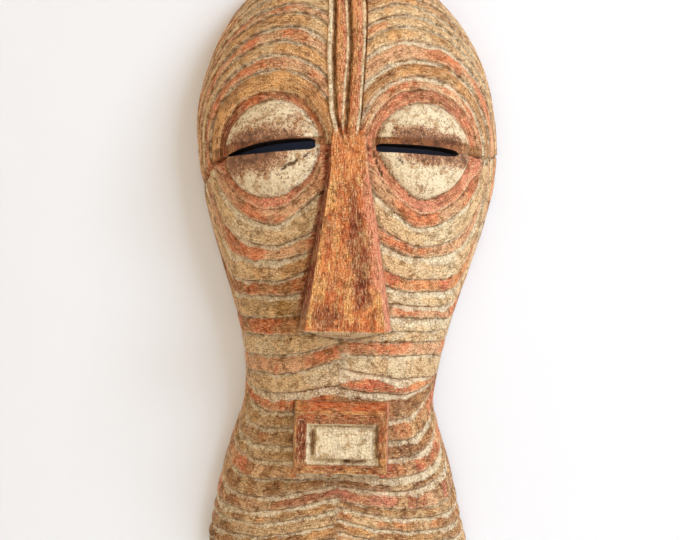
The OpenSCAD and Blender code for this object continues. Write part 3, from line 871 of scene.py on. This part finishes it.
bm = bmesh.new()
bm.from_mesh(mesh)
bmesh.ops.remove_doubles(bm, verts=bm.verts, dist=SAME_POINT)
bmesh.ops.dissolve_degenerate(bm, dist=1e-7, edges=bm.edges)
bmesh.ops.recalc_face_normals(bm, faces=bm.faces)
bm.to_mesh(mesh)
bm.free()
mask = bpy.data.objects.new("mask_carving", mesh)
bpy.context.scene.collection.objects.link(mask)

# ---------------------------------------------------------------- materials


# the shine of dry wood and chalk
DRY = 0.25


class Nodes:
    """A short way to build a node tree."""

    def __init__(self, name):
        self.material = bpy.data.materials.new(name)
        self.material.use_nodes = True
        self.tree = self.material.node_tree
        self.bsdf = self.tree.nodes["Principled BSDF"]
        self.out = self.tree.nodes["Material Output"]

    def add(self, kind, **inputs):
        node = self.tree.nodes.new(kind)
        for key, value in inputs.items():
            key = key.replace("_", " ")
            self.set(node.inputs[key], value)
        return node

    def set(self, socket, value):
        if isinstance(value, bpy.types.NodeSocket):
            self.tree.links.new(value, socket)
        elif isinstance(value, (tuple, list, np.ndarray)):
            value = [float(c) for c in value]
            size = len(socket.default_value)
            socket.default_value = value + [1.0] * (size - len(value))
        else:
            socket.default_value = value

    def attribute(self, name):
        node = self.tree.nodes.new("ShaderNodeAttribute")
        node.attribute_name = name
        return node.outputs["Color" if name == "tint" else "Fac"]

    def math(self, operation, *values):
        node = self.tree.nodes.new("ShaderNodeMath")
        node.operation = operation
        for socket, value in zip(node.inputs, values):
            self.set(socket, value)
        return node.outputs[0]

    def step(self, value, low, high):
        node = self.tree.nodes.new("ShaderNodeMapRange")
        node.interpolation_type = "SMOOTHSTEP"
        self.set(node.inputs["Value"], value)
        self.set(node.inputs["From Min"], low)
        self.set(node.inputs["From Max"], high)
        return node.outputs["Result"]

    def blend(self, a, b, amount, mode="MIX"):
        node = self.tree.nodes.new("ShaderNodeMix")
        node.data_type = "RGBA"
        node.blend_type = mode
        self.set(node.inputs[0], amount)
        self.set(node.inputs[6], a)
        self.set(node.inputs[7], b)
        return node.outputs[2]

    def times(self, value, factor):
        return self.math("MULTIPLY", value, factor)

    def times_plus(self, value, factor, more):
        return self.math("MULTIPLY_ADD", value, factor, more)

    def where(self, scale=(1, 1, 1)):
        coordinates = self.tree.nodes.new("ShaderNodeTexCoord")
        mapping = self.tree.nodes.new("ShaderNodeMapping")
        self.tree.links.new(coordinates.outputs["Object"], mapping.inputs["Vector"])
        mapping.inputs["Scale"].default_value = scale
        return mapping.outputs["Vector"]

    def noise(self, scale, detail=2.0, rough=0.5, stretch=(1, 1, 1)):
        node = self.add("ShaderNodeTexNoise", Vector=self.where(stretch), Scale=scale, Detail=detail)
        node.inputs["Roughness"].default_value = rough
        return node.outputs["Fac"]

    def fibres(self, across, along, detail=3.0, rough=0.6, start=0.0):
        """Noise drawn out along the carved lines; the sizes of a streak are in millimetres."""
        flow = self.tree.nodes.new("ShaderNodeAttribute")
        flow.attribute_name = "flow"
        mapping = self.tree.nodes.new("ShaderNodeMapping")
        self.tree.links.new(flow.outputs["Vector"], mapping.inputs["Vector"])
        mapping.inputs["Scale"].default_value = (1 / across, 1 / along, 1)
        mapping.inputs["Location"].default_value = (start, start, start)
        node = self.add("ShaderNodeTexNoise", Vector=mapping.outputs["Vector"], Scale=1.0, Detail=detail)
        node.inputs["Roughness"].default_value = rough
        return node.outputs["Fac"]

    def cracks(self, scale, warp):
        """A net of fine cracks, 1 on the lines."""
        place = self.where()
        bend = self.add("ShaderNodeTexNoise", Vector=place, Scale=scale * 0.7, Detail=2.0)
        offset = self.tree.nodes.new("ShaderNodeVectorMath")
        offset.operation = "MULTIPLY_ADD"
        self.set(offset.inputs[0], bend.outputs["Color"])
        offset.inputs[1].default_value = (warp / scale,) * 3
        self.set(offset.inputs[2], place)
        cells = self.tree.nodes.new("ShaderNodeTexVoronoi")
        cells.feature = "DISTANCE_TO_EDGE"
        self.set(cells.inputs["Vector"], offset.outputs[0])
        self.set(cells.inputs["Scale"], scale)
        return self.math("SUBTRACT", 1.0, self.step(cells.outputs["Distance"], 0.02, 0.17))

    def bump(self, height_socket, distance, strength):
        node = self.add("ShaderNodeBump", Height=height_socket, Distance=distance, Strength=strength)
        return node.outputs["Normal"]

    def shade(self, **inputs):
        """Sets inputs of the surface, by their names with _ for a space, and gives back the material."""
        for key, value in inputs.items():
            self.set(self.bsdf.inputs[key.replace("_", " ")], value)
        return self.material


def ochre(m, t):
    """Worn to tan wood in streaks, brown in blotches, with fine light and dark fibres, pores and cracks."""
    broad = m.fibres(1.7, 9.0, 3.0, 0.65, 17.0)
    bare = m.times_plus(broad, 0.45, m.times(t["speck"], 0.25))
    bare = m.times_plus(t["mottle"], 0.30, bare)
    colour = m.blend(m.attribute("tint"), rgb(232, 186, 130), m.times(m.step(bare, 0.50, 0.57), 0.42))
    colour = m.blend(colour, (0.44, 0.34, 0.24), m.times(m.step(t["blotch"], 0.50, 0.64), 0.75), "MULTIPLY")
    colour = m.blend(colour, (0.36, 0.26, 0.17), m.times(m.step(t["fine"], 0.47, 0.35), 0.85), "MULTIPLY")
    colour = m.blend(colour, rgb(255, 224, 174), m.times(m.step(t["fine"], 0.52, 0.64), 0.48))
    colour = m.blend(colour, (0.40, 0.29, 0.20), m.times(m.step(t["grit"], 0.53, 0.62), 0.70), "MULTIPLY")
    net = m.times(t["crackle"], m.times_plus(t["worn"], 0.45, 0.08))
    return m.blend(colour, (0.38, 0.28, 0.19), net, "MULTIPLY")


def chalk_over(m, t, colour):
    """Kaolin in the groove floors and on the lids, with a ragged edge."""
    kaolin_in = m.attribute("kaolin")
    ragged = m.times_plus(m.math("SUBTRACT", t["speck"], 0.5), 3.4, kaolin_in)
    ragged = m.times_plus(m.math("SUBTRACT", t["fine"], 0.5), 2.4, ragged)
    ragged = m.times_plus(m.math("SUBTRACT", t["mottle"], 0.52), 4.0, ragged)
    chalk = m.blend(rgb(246, 225, 188), rgb(196, 158, 112), m.step(t["blotch"], 0.47, 0.66))
    chalk = m.blend(chalk, rgb(120, 80, 50), m.times(m.step(t["speck"], 0.55, 0.65), 0.60))
    few = m.times_plus(m.step(kaolin_in, 2.6, 2.9), -0.7, 1.0)
    cracked = m.times(m.times(t["crackle"], few), m.times_plus(t["worn"], 0.45, 0.12))
    chalk = m.blend(chalk, rgb(112, 76, 46), cracked)
    chalk = m.blend(chalk, rgb(250, 238, 212), m.times(m.step(t["grit"], 0.50, 0.62), 0.60))
    return m.blend(colour, chalk, m.times(m.step(ragged, -0.35, 0.75), 0.88))


def stains_over(m, t, colour):
    """Rubbed brown stains on the lids, and the painted shade and dirt of the dark lines where a ridge drops
    into its groove.
    """
    stain_in, crease_in = m.attribute("stain"), m.attribute("crease")
    dots = m.times(m.math("ADD", t["speck"], t["grit"]), 0.5)
    stained = m.step(m.times_plus(stain_in, 0.17, dots), 0.585, 0.66)
    wash = m.step(m.times_plus(t["blotch"], 1.0, stain_in), 0.72, 1.30)
    colour = m.blend(colour, rgb(180, 112, 64), m.times(wash, 0.66))
    brown = m.blend(rgb(134, 80, 52), rgb(72, 44, 38), m.step(t["blotch"], 0.4, 0.62))
    colour = m.blend(colour, brown, m.times(stained, 0.78))
    # painted shade and dirt along the carved lines
    rough_line = m.times_plus(t["blotch"], 0.6, m.times(t["speck"], 0.4))
    broken = m.times(crease_in, m.step(rough_line, 0.32, 0.60))
    return m.blend(colour, rgb(90, 56, 26), m.math("MINIMUM", m.times(broken, 0.88), 0.95))


def upright_cracks_over(m, colour):
    """Short upright cracks across the ridges of the lower part."""
    place = m.tree.nodes.new("ShaderNodeSeparateXYZ")
    m.tree.links.new(m.where(), place.inputs[0])
    upright = m.math("ABSOLUTE", m.math("SUBTRACT", m.noise(260, 2, 0.6, (1, 1, 0.16)), 0.5))
    upright = m.math("SUBTRACT", 1.0, m.step(upright, 0.0, 0.035))
    upright = m.times(upright, m.step(m.noise(130, 2, 0.5), 0.50, 0.64))
    upright = m.times(upright, m.step(place.outputs["Z"], -0.16, -0.26))
    return m.blend(colour, rgb(92, 58, 34), m.times(upright, 0.65))


def painted_wood():
    """Ochre and kaolin rubbed into carved wood: worn, cracked and full of specks."""
    m = Nodes("painted_wood")
    t = dict(
        grit=m.noise(1250, 2, 0.7), speck=m.noise(640, 3, 0.7), blotch=m.noise(230, 3, 0.62),
        mottle=m.noise(90, 3, 0.55), crackle=m.cracks(520, 0.9), fine=m.fibres(0.62, 4.5, 3.0, 0.65),
    )
    t["worn"] = m.step(t["mottle"], 0.34, 0.66)
    colour = stains_over(m, t, chalk_over(m, t, ochre(m, t)))
    relief = m.math("ADD", m.times(t["speck"], 0.6), m.times(t["grit"], 0.25))
    relief = m.times_plus(m.noise(900, 3, 0.6, (1, 1, 0.12)), 0.2, relief)
    relief = m.times_plus(t["fine"], 0.6, relief)
    relief = m.times_plus(t["crackle"], -0.35, relief)
    return m.shade(
        Base_Color=upright_cracks_over(m, colour), Roughness=m.step(t["blotch"], -0.9, 1.3),
        Specular_IOR_Level=DRY, Normal=m.bump(relief, 0.0012, 0.8),
    )


def bare_wood(name, light, dark, scale):
    """Unpainted wood with upright grain, pores and darker patches."""
    m = Nodes(name)
    grain = m.noise(420 * scale, 4, 0.62, (1, 1, 0.07))
    pores = m.noise(1500, 2, 0.6, (1, 1, 0.2))
    mottle = m.noise(60, 3, 0.55)
    colour = m.blend(light, dark, m.step(grain, 0.36, 0.66))
    colour = m.blend(colour, rgb(60, 38, 24), m.times(m.step(mottle, 0.46, 0.74), 0.45))
    colour = m.blend(colour, rgb(50, 32, 20), m.times(m.step(pores, 0.58, 0.7), 0.5))
    relief = m.bump(m.math("ADD", grain, pores), 0.0006, 0.6)
    rough = m.step(mottle, -1.2, 1.4)
    return m.shade(Base_Color=colour, Roughness=rough, Specular_IOR_Level=DRY, Normal=relief)


def metal(name, colour, rough, scratch):
    """Plated steel, duller where it is worn, with fine scratches drawn out by that stretch."""
    m = Nodes(name)
    wear = m.noise(220, 4, 0.6)
    scratches = m.noise(2600, 2, 0.5, scratch)
    dull = [0.45 * c for c in colour]
    return m.shade(
        Base_Color=m.blend(colour, dull, m.times(m.step(wear, 0.5, 0.78), 0.6)), Metallic=1.0,
        Roughness=m.times_plus(wear, 0.3, rough), Normal=m.bump(scratches, 0.0001, 0.35),
    )


FACE_WOOD = painted_wood()
BACK_WOOD = bare_wood("hollow_wood", rgb(158, 112, 70), rgb(104, 68, 42), 1.0)
# near-black wood for the slit walls: painted shade that keeps the slits dark
SLIT_SHADE_WOOD = bare_wood("slit_wood_painted_shade", rgb(46, 30, 22), rgb(22, 16, 14), 1.0)
CUT_WOOD = bare_wood("pocket_wood", rgb(196, 152, 100), rgb(150, 108, 66), 1.4)
for material in (FACE_WOOD, BACK_WOOD):
    mesh.materials.append(material)

# ---------------------------------------------------------------- slits and hanger pocket


def prism(name, outline, y_from, y_to, material, shift=0.0):
    """A prism of that outline in x and z, in millimetres, that cuts the mask."""
    cutter = bpy.data.meshes.new(name)
    n = len(outline)
    pts = [((x + shift) / 1000, y / 1000, z / 1000) for y in (y_from, y_to) for x, z in outline]
    faces = [list(range(n)), list(range(2 * n - 1, n - 1, -1))]
    faces += [[i, i + n, (i + 1) % n + n, (i + 1) % n] for i in range(n)]
    cutter.from_pydata(pts, [], faces)
    bm = bmesh.new()
    bm.from_mesh(cutter)
    bmesh.ops.recalc_face_normals(bm, faces=bm.faces)
    bm.to_mesh(cutter)
    bm.free()
    cutter.materials.append(material)
    obj = bpy.data.objects.new(name, cutter)
    bpy.context.scene.collection.objects.link(obj)
    return obj


# inner and outer ends of the slits, their fall to the temples in degrees, and their height in the frame
SLIT_FROM, SLIT_TO, SLIT_MID = {-1: 18.0, 1: 15.6}, {-1: 68.5, 1: 62.5}, 44.0
SLIT_SLOPE = {-1: 5.5, 1: 2.0}
EYE_Z = -95.0


def slit_outline(side):
    """Blunt at the nose; the left one is drawn out to a tip at the temple, the right one blunt there too."""
    start, end = SLIT_FROM[side], SLIT_TO[side]
    xs = np.linspace(start, end, 26)
    t = (xs - start) / (end - start)
    blunt = np.clip((xs - start + 1.0) / 3.5, 0, 1) ** 0.5
    if side < 0:
        half = 2.8 * blunt * (1 - t**3.2) ** 0.8 + 0.25
        arch_up, sag = 0.7 * np.sin(np.pi * t), 1.5 * t**3
    else:
        half = 2.15 * blunt * np.sqrt(1 - t**9) + 0.2
        arch_up, sag = 0.3 * np.sin(np.pi * t), 0 * t
    drop = -(xs - SLIT_MID) * math.tan(math.radians(SLIT_SLOPE[side])) - sag
    top = [(side * x, EYE_Z + d + h + u) for x, d, h, u in zip(xs, drop, half, arch_up)]
    low = [(side * x, EYE_Z + d - h + u * 0.3) for x, d, h, u in zip(xs, drop, half, arch_up)]
    return top + low[::-1]


EYE_SHIFT = float(centre_shift(np.array(float(EYE_LEVEL))))
POCKET_HALF, POCKET_LOW, POCKET_HIGH, POCKET_DEPTH = 13, -28.5, 8, 6.2
PILOT_R, PILOT_Z, PILOT_SIDES = 1.35, -19, 24


def rectangle(half, low, high):
    """The corners of a rectangle that is centred across."""
    return [(-half, low), (half, low), (half, high), (-half, high)]


turns = [k * math.pi / (PILOT_SIDES / 2) for k in range(PILOT_SIDES)]
pilot = [(PILOT_R * math.cos(turn), PILOT_Z + PILOT_R * math.sin(turn)) for turn in turns]
cutters = [
    prism("left_cut", slit_outline(-1), -90, -12, SLIT_SHADE_WOOD, EYE_SHIFT),
    prism("right_cut", slit_outline(1), -90, -12, SLIT_SHADE_WOOD, EYE_SHIFT),
    prism("pocket_cut", rectangle(POCKET_HALF, POCKET_LOW, POCKET_HIGH), -POCKET_DEPTH, 3, CUT_WOOD),
    prism("pilot_cut", pilot, -20, 0, CUT_WOOD),
]
for cutter in cutters:
    cut = mask.modifiers.new(cutter.name, "BOOLEAN")
    cut.operation, cut.object, cut.solver = "DIFFERENCE", cutter, "MANIFOLD"
    cut.material_mode = "TRANSFER"
graph = bpy.context.evaluated_depsgraph_get()
evaluated = mask.evaluated_get(graph)
cut_mesh = bpy.data.meshes.new_from_object(evaluated, preserve_all_data_layers=True, depsgraph=graph)
mask.modifiers.clear()
mask.data = cut_mesh
for cutter in cutters:
    bpy.data.objects.remove(cutter)
cut_mesh.name = "mask_carving"


def places_of(data):
    places = np.empty(len(data.vertices) * 3, np.float32)
    data.vertices.foreach_get("co", places)
    return places.reshape(-1, 3)


def near_slits(places, half_height, half_across):
    return (np.abs(places[:, 2] - EYE_Z / 1000) < half_height) & (np.abs(places[:, 0]) < half_across)


def fill_cut_points(target, source):
    """Gives the points that the cuts made the paint of the nearest carved point."""
    places, old = places_of(target), places_of(source)
    kept = np.nonzero(near_slits(old, 0.018, 0.08))[0]
    tree = kdtree.KDTree(len(kept))
    for k in kept:
        tree.insert(old[k], int(k))
    tree.balance()
    found = [(int(k), *tree.find(places[k])[1:]) for k in np.nonzero(near_slits(places, 0.016, 0.078))[0]]
    found = [(k, i) for k, i, distance in found if distance > SAME_POINT]
    kinds = {"kaolin": "value", "crease": "value", "stain": "value", "flow": "vector", "tint": "color"}
    for name, field in kinds.items():
        to, origin = target.attributes[name].data, source.attributes[name].data
        for k, i in found:
            setattr(to[k], field, getattr(origin[i], field))


fill_cut_points(cut_mesh, mesh)
cut_mesh.polygons.foreach_set("use_smooth", np.ones(len(cut_mesh.polygons), bool))
cut_mesh.set_sharp_from_angle(angle=math.radians(48))

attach(mask, "mask")
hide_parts("mask_shell")

# ---------------------------------------------------------------- hanger metals

STRAP = metal("strap_zinc", (0.62, 0.60, 0.56), 0.30, (1, 1, 0.05))
RING = metal("ring_nickel", (0.66, 0.64, 0.60), 0.18, (0.2, 1, 1))
SCREW = metal("screw_zinc", (0.60, 0.57, 0.50), 0.28, (1, 1, 1))
for node, material in (("hanger_strap", STRAP), ("hanger_ring", RING), ("hanger_screw", SCREW)):
    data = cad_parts[node].data
    data.materials.clear()
    data.materials.append(material)

# ---------------------------------------------------------------- wall, floor, light and camera


def stage_plane(name, corners, material):
    """A flat square that belongs to the studio."""
    plane = bpy.data.meshes.new(name)
    plane.from_pydata(corners, [], [(0, 1, 2, 3)])
    plane.materials.append(material)
    obj = bpy.data.objects.new(name, plane)
    bpy.context.scene.collection.objects.link(obj)


def wall_paint():
    """A pale wall that views from the back, and light, pass through; a painted blue patch where the eye slits
    are stands for the shaded wall seen through them.
    """
    m = Nodes("wall_paint")
    place = m.tree.nodes.new("ShaderNodeSeparateXYZ")
    m.tree.links.new(m.where(), place.inputs[0])
    # painted blue patch on the wall where the eye slits are: the colour of the shaded wall seen through them
    high = m.math("ABSOLUTE", m.math("ADD", place.outputs["Z"], 0.105))
    blue_shade_patch = m.math("LESS_THAN", m.math("ABSOLUTE", place.outputs["X"]), 0.070)
    blue_shade_patch = m.math("MULTIPLY", blue_shade_patch, m.math("LESS_THAN", high, 0.05))
    pale = m.blend(rgb(230, 231, 237), rgb(227, 228, 233), m.noise(14, 3))
    m.shade(Base_Color=m.blend(pale, rgb(120, 165, 255), blue_shade_patch), Roughness=0.9, Specular_IOR_Level=0.1)
    clear = m.tree.nodes.new("ShaderNodeBsdfTransparent")
    facing = m.tree.nodes.new("ShaderNodeNewGeometry").outputs["Backfacing"]
    shadow = m.tree.nodes.new("ShaderNodeLightPath").outputs["Is Shadow Ray"]
    both_ways = m.tree.nodes.new("ShaderNodeMixShader")
    m.set(both_ways.inputs[0], m.math("MAXIMUM", facing, shadow))
    m.tree.links.new(m.bsdf.outputs[0], both_ways.inputs[1])
    m.tree.links.new(clear.outputs[0], both_ways.inputs[2])
    m.tree.links.new(both_ways.outputs[0], m.out.inputs["Surface"])
    return m.material


def floor_paint():
    """A plain pale floor."""
    m = Nodes("floor_paint")
    colour = m.blend(rgb(236, 234, 230), rgb(230, 228, 223), m.noise(9, 3))
    return m.shade(Base_Color=colour, Roughness=0.85)


WALL_Y, FLOOR_Z = 0.0006, -0.62
WALL_HALF, WALL_TOP, FLOOR_HALF = 3, 2.2, 4
stage_plane("wall", [(x, WALL_Y, z) for x, z in rectangle(WALL_HALF, FLOOR_Z, WALL_TOP)], wall_paint())
floor = rectangle(FLOOR_HALF, -FLOOR_HALF, FLOOR_HALF)
stage_plane("floor", [(x, y, FLOOR_Z) for x, y in floor], floor_paint())

AIM = (0.0, -0.02, -0.16)


def area_light(name, place, size, power, colour):
    """A soft square lamp turned to the mask."""
    data = bpy.data.lights.new(name, "AREA")
    data.shape, data.size, data.energy, data.color = "SQUARE", size, power, colour
    lamp = bpy.data.objects.new(name, data)
    bpy.context.scene.collection.objects.link(lamp)
    lamp.location = place
    direction = Vector(AIM) - Vector(place)
    lamp.rotation_euler = direction.to_track_quat("-Z", "Y").to_euler()


area_light("key", (1.15, -1.1, 0.55), 0.9, 28, (0.73, 0.86, 1.0))
area_light("fill", (-0.5, -1.6, 0.2), 1.4, 4.0, (1.0, 0.92, 0.80))
area_light("back_fill", (-0.6, 1.6, 0.4), 1.2, 14, (1.0, 0.98, 0.95))

world = bpy.data.worlds.new("studio")
world.use_nodes = True
# the room's warm light, and a plain pale backdrop for what the camera sees
warm = world.node_tree.nodes["Background"]
warm.inputs["Color"].default_value = (1.0, 0.79, 0.52, 1)
warm.inputs["Strength"].default_value = 0.62
plain = world.node_tree.nodes.new("ShaderNodeBackground")
plain.inputs["Color"].default_value = (0.90, 0.89, 0.87, 1)
camera_ray = world.node_tree.nodes.new("ShaderNodeLightPath").outputs["Is Camera Ray"]
either = world.node_tree.nodes.new("ShaderNodeMixShader")
world.node_tree.links.new(camera_ray, either.inputs[0])
world.node_tree.links.new(warm.outputs[0], either.inputs[1])
world.node_tree.links.new(plain.outputs[0], either.inputs[2])
world.node_tree.links.new(either.outputs[0], world.node_tree.nodes["World Output"].inputs[0])
bpy.context.scene.world = world

camera_data = bpy.data.cameras.new("camera")
camera_data.lens, camera_data.sensor_width = 66.18, 36
camera_data.clip_start, camera_data.clip_end = 0.05, 50
camera = bpy.data.objects.new("camera", camera_data)
bpy.context.scene.collection.objects.link(camera)
camera.location = (-0.0018, -0.75, -0.1622)
ROLL = math.radians(-1.2)
camera.rotation_euler = (math.pi / 2, ROLL, 0)
bpy.context.scene.camera = camera
bpy.context.scene.view_settings.view_transform = "Standard"
